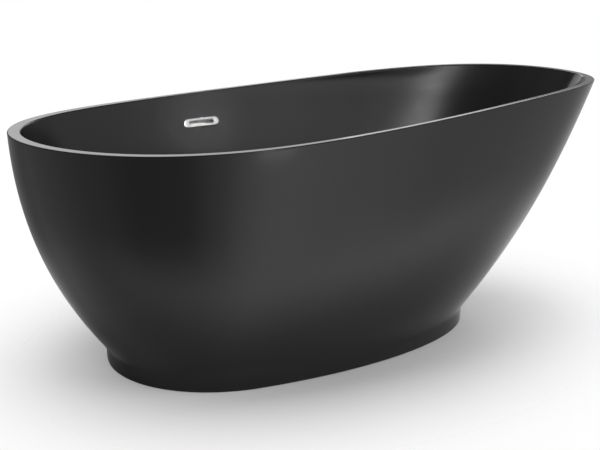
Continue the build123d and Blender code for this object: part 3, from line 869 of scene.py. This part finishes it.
# %% [markdown]
# ## Birch board
# The board under the floor is ply sealed with resin. Long grain runs along the bath on its face, and
# the edge shows the plies as light and dark lines. Height decides which ply we are in, so one wave in Z
# gives the edge, and it hardly shows on the flat faces.

# %% Ply
GRAIN, PLIES, PLY_SHARE = 0.006, 112.0, 0.45

birch, shader = finish("birch_ply")
grain = noise(birch, place(birch, (0.05, 1.0, 1.0)), GRAIN, 6.0, 0.65)
face = tint(birch, grain, (0.40, 0.26, 0.13), (0.64, 0.47, 0.28))
plies = tint(birch, bands(birch, PLIES, 0.4), (0.45, 0.38, 0.30), (1.0, 1.0, 1.0))
layered = mix(birch, PLY_SHARE, face, plies, "MULTIPLY")
wire(birch, shader, Base_Color=layered, Roughness=spread_to(birch, grain, 0.38, 0.58))
wire(birch, shader, Normal=bump(birch, grain, 0.00015))
print("birch nodes:", len(birch.node_tree.nodes))

# %% [markdown]
# ## Hand out the finishes
# The record says which slot each solid belongs to, so one table from slot to finish dresses all of
# them. The new pieces that have no finish yet are given theirs by name.

# %% Dress every solid
finishes = {
    "black_acrylic": acrylic,
    "birch_board": birch,
    "frame_coat": frame_coat,
    "plug_plastic": plug_plastic,
    "zinc_steel": zinc,
    "foot_rubber": foot_rubber,
    "seal_rubber": seal_rubber,
    "chrome": chrome,
    "brass": brass,
    "pipe_plastic": pipe_plastic,
}
for part in frame["record"]["subparts"]:
    solid = frame["nodes"][part["node"]]
    solid.data.materials.clear()
    solid.data.materials.append(finishes[part["material_slot"]])
overflow_plate.data.materials.append(chrome)
cup_plate.data.materials.append(pipe_plastic)
plug_coil.data.materials.append(zinc)
for number in range(1, len(FEET) + 1):
    bpy.data.objects[f"threaded_stud_{number}"].data.materials.append(zinc)

# %% [markdown]
# ## Camera
# The place and lens come from fitting the rim, both outlines and the plinth of the photograph. The
# camera stands 1.2 m up, a little left of the middle, and looks down by about twenty degrees. Its level
# is true, so no roll is set.

# %% Camera
from mathutils import Vector

CAMERA_PLACE = (-0.7872, -2.2705, 1.2077)
CAMERA_LOOK = (0.2840, 0.8967, -0.3396)
SENSOR, FOCAL = 36.0, 51.83

lens = bpy.data.cameras.new("photo_camera")
lens.sensor_fit, lens.sensor_width, lens.lens = "HORIZONTAL", SENSOR, FOCAL
camera = bpy.data.objects.new("photo_camera", lens)
camera.location = CAMERA_PLACE
camera.rotation_mode = "QUATERNION"
camera.rotation_quaternion = Vector(CAMERA_LOOK).to_track_quat("-Z", "Y")
bpy.context.scene.collection.objects.link(camera)
bpy.context.scene.camera = camera
bpy.context.scene.view_settings.view_transform = "Standard"
print("camera to bath:", round(camera.location.length, 3), "m")

# %% [markdown]
# ## Floor
# A plain pale floor takes the bath's shadow and lends the black skin something to reflect. It could be
# a plane as wide as a hall, but its far edge would draw a horizon. Here it is a disc that thins out to
# nothing with its distance from the bath, so that the shadow stays and the floor passes into the white
# studio without a line. For the camera it thins out sooner than for the light. Mirrored in the skin, an
# even floor would hide the plinth, so gloss sees a painted shadow: a darker strip of floor just before
# the plinth, standing in for its contact shadow, and white beyond it.

# %% Floor disc
FLOOR_RADII = np.array([0.001, 1.5, 3.0])
FLOOR_SPOKES = 64
FLOOR_LEVEL = -0.0005

angle, radius = np.meshgrid(np.linspace(0, 2 * np.pi, FLOOR_SPOKES, endpoint=False), FLOOR_RADII)
disc = np.stack([radius * np.cos(angle), radius * np.sin(angle), FLOOR_LEVEL + 0 * radius], -1)
r, c = np.meshgrid(np.arange(len(FLOOR_RADII) - 1), np.arange(FLOOR_SPOKES), indexing="ij")
on = (c + 1) % FLOOR_SPOKES
cells = np.stack([r, r + 1, r + 1, r], -1) * FLOOR_SPOKES + np.stack([c, c, on, on], -1)
mesh = bpy.data.meshes.new("studio_floor")
mesh.from_pydata(disc.reshape(-1, 3).tolist(), [], cells.reshape(-1, 4).tolist())
floor = bpy.data.objects.new("studio_floor", mesh)
bpy.context.scene.collection.objects.link(floor)
print("floor cells:", len(mesh.polygons))

# %% Floor finish
# Painted shadow for gloss rays: the floor's tone falls to the strip tone just ahead of the plinth,
# standing in for its contact shadow.
PAINTED_SHADOW_AHEAD, PAINTED_SHADOW_TONE, PAINTED_SHADOW_EDGES = 0.34, 0.64, (0.06, 0.28)
REACH_X, REACH_Y = 1.10, 0.80
LIGHT_FADE, CAMERA_FADE = (0.48, 1.55), (0.28, 1.12)

plaster, shader = finish("pale_plaster", Roughness=0.9)
ray = add(plaster, "LightPath")
tone = tint(plaster, noise(plaster, place(plaster), 0.5), (0.83, 0.83, 0.83), (0.87, 0.87, 0.87))
across = add(plaster, "SeparateXYZ", Vector=place(plaster)).outputs["Y"]
apart = sum_up(plaster, "ABSOLUTE", sum_up(plaster, "ADD", across, PAINTED_SHADOW_AHEAD))
# Painted shadow: tone for gloss rays, darkest in the strip before the plinth and white beyond it.
painted_shadow = spread_to(plaster, apart, PAINTED_SHADOW_TONE, 1.0, *PAINTED_SHADOW_EDGES)
wire(plaster, shader, Base_Color=mix(plaster, ray.outputs["Is Glossy Ray"], tone, painted_shadow))
oval = place(plaster, (1 / REACH_X, 1 / REACH_Y, 0.0))
away = add(plaster, "VectorMath", {"operation": "LENGTH"}, _0=oval).outputs["Value"]
thin = spread_to(plaster, away, 0.0, 1.0, *LIGHT_FADE, "SMOOTHSTEP")
sooner = spread_to(plaster, away, 0.0, 1.0, *CAMERA_FADE, "SMOOTHSTEP")
thin = add(plaster, "Mix", _0=ray.outputs["Is Camera Ray"], _2=thin, _3=sooner).outputs[0]
clear = add(plaster, "BsdfTransparent")
surface = add(plaster, "MixShader", _0=thin, _1=shader.outputs["BSDF"], _2=clear.outputs["BSDF"])
wire(plaster, plaster.node_tree.nodes["Material Output"], Surface=surface.outputs[0])
mesh.materials.append(plaster)
print("floor nodes:", len(plaster.node_tree.nodes))

# %% [markdown]
# ## The room, as the skin sees it
# A satin black form is drawn by what it mirrors. Read back from the photograph, the room is bright in
# front and to the right, its light ends in a clear edge left of the middle, a dark stretch follows, and
# it is dim behind and overhead. A picture of a room could be wrapped round the scene, but a few stops
# of a ramp round the horizon say the same and can be moved one by one. The camera sees plain white, and
# mirroring surfaces see as much white as the room has in that direction.

# %% Ramp round the horizon
ROOM = (
    (-180, 0.33), (-150, 0.24), (-128, 0.15), (-110, 0.16), (-97, 0.36), (-88, 0.72),
    (-80, 1.0), (-72, 1.0), (-60, 0.78), (-38, 0.52), (-19, 0.44), (8, 0.34),
    (38, 0.48), (60, 0.30), (95, 0.20), (140, 0.20), (160, 0.32), (180, 0.33),
)

world = bpy.data.worlds.new("studio")
bpy.context.scene.world = world
world.use_nodes = True
world.node_tree.nodes.clear()
facing = add(world, "TexCoord").outputs["Generated"]
bearing = add(world, "TexGradient", {"gradient_type": "RADIAL"}, Vector=facing).outputs["Fac"]
panorama = add(world, "ValToRGB", Fac=bearing)
panorama.color_ramp.interpolation = "EASE"
stops = panorama.color_ramp.elements
while len(stops) < len(ROOM):
    stops.new(0.5)
for stop, (degrees, level) in zip(stops, ROOM):
    stop.position = degrees / 360 + 0.5
    stop.color = (level, level, level, 1.0)
print("stops round the horizon:", len(stops))

# %% World
CEILING_FROM, CEILING_TO, CEILING_LEVEL = 0.0, 0.75, 0.35
ROOM_LIGHT = 0.5

height = add(world, "SeparateXYZ", Vector=facing).outputs["Z"]
ceiling = spread_to(world, height, 1.0, CEILING_LEVEL, CEILING_FROM, CEILING_TO, "SMOOTHSTEP")
room = sum_up(world, "MULTIPLY", panorama.outputs["Color"], ceiling)
ray = add(world, "LightPath")
seen = sum_up(world, "MAXIMUM", ray.outputs["Is Camera Ray"], ray.outputs["Is Transmission Ray"])
mirror = sum_up(world, "MULTIPLY", ray.outputs["Is Glossy Ray"], room)
white = sum_up(world, "MAXIMUM", seen, mirror)
dim = add(world, "Background", Color=room, Strength=ROOM_LIGHT)
bright = add(world, "Background", Color=(1.0, 1.0, 1.0, 1.0), Strength=1.0)
both = add(world, "MixShader", _0=white, _1=dim.outputs[0], _2=bright.outputs[0])
add(world, "OutputWorld", Surface=both.outputs[0])
print("world nodes:", len(world.node_tree.nodes))

# %% [markdown]
# ## Soft boxes
# Lamps finish the picture. A broad key from the right, a top light and a low light at each end are for
# the floor and its shadow, and the skin doesn't mirror them. A narrow strip beside the camera leaves
# the bright streak on the backrest, two boxes behind draw the line along the rim, and a low one in
# front lifts the edge under it. A last small lamp shines through the overflow's slot, on to the white
# cup behind the wall.

# %% Soft boxes
def soft_box(name, spot, aim, size, watts, mirrored):
    """A rectangular soft light at a spot, aimed at a point,
    unseen by the camera, mirrored in gloss or not."""
    light = bpy.data.lights.new(name, "AREA")
    light.shape, light.size, light.size_y, light.energy = "RECTANGLE", size[0], size[1], watts
    box = bpy.data.objects.new(name, light)
    box.location = spot
    box.rotation_mode = "QUATERNION"
    box.rotation_quaternion = (Vector(aim) - Vector(spot)).to_track_quat("-Z", "Y")
    box.visible_camera = False
    box.visible_glossy = mirrored
    bpy.context.scene.collection.objects.link(box)
    return box


LAMPS = (
    ("key_right", (2.4, -2.0, 3.0), (0.0, -0.1, 0.2), (2.0, 2.0), 60.0, False),
    ("top", (0.0, 0.2, 3.6), (0.0, 0.0, 0.0), (2.4, 1.6), 85.0, False),
    ("floor_right", (2.3, -0.9, 0.75), (0.62, -0.12, 0.0), (0.7, 0.5), 8.0, False),
    ("floor_left", (-2.5, -0.9, 0.75), (-0.80, -0.12, 0.0), (0.7, 0.5), 8.0, False),
    ("strip", (-0.05, -2.45, 1.50), (0.45, 0.25, 0.65), (0.16, 1.10), 3.2, True),
    ("back_box", (-0.05, 3.2, 1.75), (-0.1, -0.3, 0.70), (2.4, 1.1), 10.9, True),
    ("rim_line", (1.95, 2.57, 2.00), (0.25, -0.35, 0.72), (2.05, 0.6), 9.9, True),
    ("low_front", (0.12, -2.45, 0.14), (-0.05, -0.37, 0.60), (0.5, 0.10), 0.25, True),
    ("slot_lamp", (0.73, -1.86, 1.58), seat, (0.06, 0.06), 0.26, False),
)
SLOT_BEAM = 6.0

lamps = {lamp[0]: soft_box(*lamp) for lamp in LAMPS}
lamps["slot_lamp"].data.spread = np.radians(SLOT_BEAM)
print("soft boxes:", len(lamps))

# %% [markdown]
# ## The end

# %% End
import json
